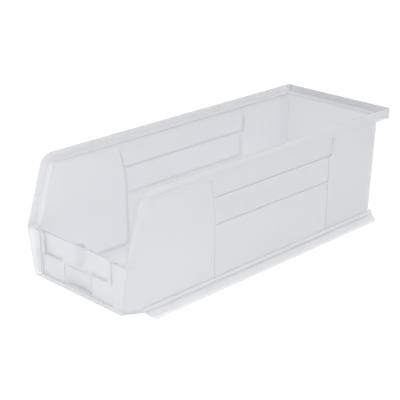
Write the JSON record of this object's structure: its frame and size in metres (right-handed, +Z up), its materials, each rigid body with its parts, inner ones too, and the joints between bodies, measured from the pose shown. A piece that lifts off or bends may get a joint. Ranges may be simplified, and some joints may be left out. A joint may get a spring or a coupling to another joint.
{
  "type": "storage bin",
  "caption": "Long open-top storage bin with a low hopper front, a rim with a stacking ledge and hanging lip, flared stacking rails and label card guides.",
  "frame": {"origin": "middle of the bin's length and width, on the surface that the stacking rails stand on", "axes": "+X towards the bin's right side seen from its open front, +Y from the hopper front to the back, +Z up"},
  "size_m": [0.1396, 0.3746, 0.127],
  "materials": {
    "natural_polypropylene": "semi-clear, milky, satin moulded"
  },
  "bodies": {
    "root": {"floor_pan": "natural_polypropylene", "front_ramp": "natural_polypropylene", "front_wall": "natural_polypropylene", "front_post": "natural_polypropylene", "finger_scoop": "natural_polypropylene", "back_wall": "natural_polypropylene", "back_stacking_ledge": "natural_polypropylene", "back_hang_lip": "natural_polypropylene", "left_side_wall": "natural_polypropylene", "right_side_wall": "natural_polypropylene", "left_panel_ribs": "natural_polypropylene", "right_panel_ribs": "natural_polypropylene", "left_stacking_ledge": "natural_polypropylene", "right_stacking_ledge": "natural_polypropylene", "left_rim_lip": "natural_polypropylene", "right_rim_lip": "natural_polypropylene", "left_front_flange": "natural_polypropylene", "right_front_flange": "natural_polypropylene", "left_label_guide": "natural_polypropylene", "right_label_guide": "natural_polypropylene", "left_stacking_rail": "natural_polypropylene", "right_stacking_rail": "natural_polypropylene"}
  },
  "joints": []
}
